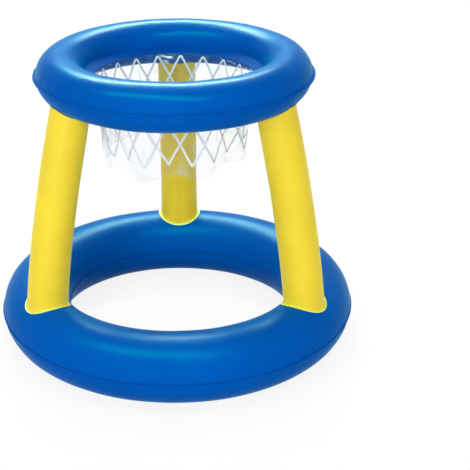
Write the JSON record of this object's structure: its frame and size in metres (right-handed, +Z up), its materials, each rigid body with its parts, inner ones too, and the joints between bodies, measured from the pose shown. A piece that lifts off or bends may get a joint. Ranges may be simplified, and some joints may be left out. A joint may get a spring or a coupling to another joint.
{
  "type": "floating basketball hoop",
  "caption": "Inflatable floating basketball hoop: a wide base ring, round legs that lean in to a smaller hoop ring, and a short clear film net.",
  "frame": {"origin": "on the floor under the middle of the base ring", "axes": "+Z up through the middle of both rings, +Y toward the rear leg, the other legs at the front left and front right"},
  "size_m": [0.61, 0.61, 0.508],
  "materials": {
    "base_vinyl": "glossy soft vinyl",
    "hoop_vinyl": "glossy soft vinyl",
    "leg_vinyl": "satin soft vinyl",
    "clear_film": "clear film with a white printed lattice",
    "valve_vinyl": "translucent soft vinyl"
  },
  "bodies": {
    "frame": {"base_ring_upper_skin": "base_vinyl", "base_ring_lower_skin": "base_vinyl", "hoop_ring_upper_skin": "hoop_vinyl", "hoop_ring_lower_skin": "hoop_vinyl", "leg_left": "leg_vinyl", "leg_right": "leg_vinyl", "leg_rear": "leg_vinyl", "net_film": "clear_film", "base_valve_flange": "valve_vinyl", "hoop_valve_flange": "valve_vinyl"},
    "base_stem": {"base_valve_stem": "valve_vinyl"},
    "base_plug": {"base_valve_plug": "valve_vinyl"},
    "base_flap": {"base_valve_flap": "valve_vinyl"},
    "hoop_stem": {"hoop_valve_stem": "valve_vinyl"},
    "hoop_plug": {"hoop_valve_plug": "valve_vinyl"},
    "hoop_flap": {"hoop_valve_flap": "valve_vinyl"}
  },
  "joints": [
    {"name": "base_stem_slide", "type": "slide", "parent": "frame", "child": "base_stem", "axis": [-0.4864, 0.6947, 0.5299], "range_m": [0, 0.012]},
    {"name": "base_plug_hinge", "type": "hinge", "parent": "base_stem", "child": "base_plug", "pos_m": [-0.17295, 0.24701, 0.08106], "axis": [-0.8192, -0.5736, 0], "range_deg": [0, 160]},
    {"name": "base_flap_hinge", "type": "hinge", "parent": "base_stem", "child": "base_flap", "pos_m": [-0.16381, 0.23395, 0.07629], "axis": [0.8192, 0.5736, 0], "range_deg": [0, 55], "stiffness_Nm_per_rad": 0.00002, "springref_deg": -17.19},
    {"name": "hoop_stem_slide", "type": "slide", "parent": "frame", "child": "hoop_stem", "axis": [0.452, 0.6455, 0.6157], "range_m": [0, 0.012]},
    {"name": "hoop_plug_hinge", "type": "hinge", "parent": "hoop_stem", "child": "hoop_plug", "pos_m": [0.12968, 0.1852, 0.48834], "axis": [-0.8192, 0.5736, 0], "range_deg": [0, 160]},
    {"name": "hoop_flap_hinge", "type": "hinge", "parent": "hoop_stem", "child": "hoop_flap", "pos_m": [0.12087, 0.17262, 0.48193], "axis": [0.8192, -0.5736, 0], "range_deg": [0, 55], "stiffness_Nm_per_rad": 0.00002, "springref_deg": -17.19}
  ]
}
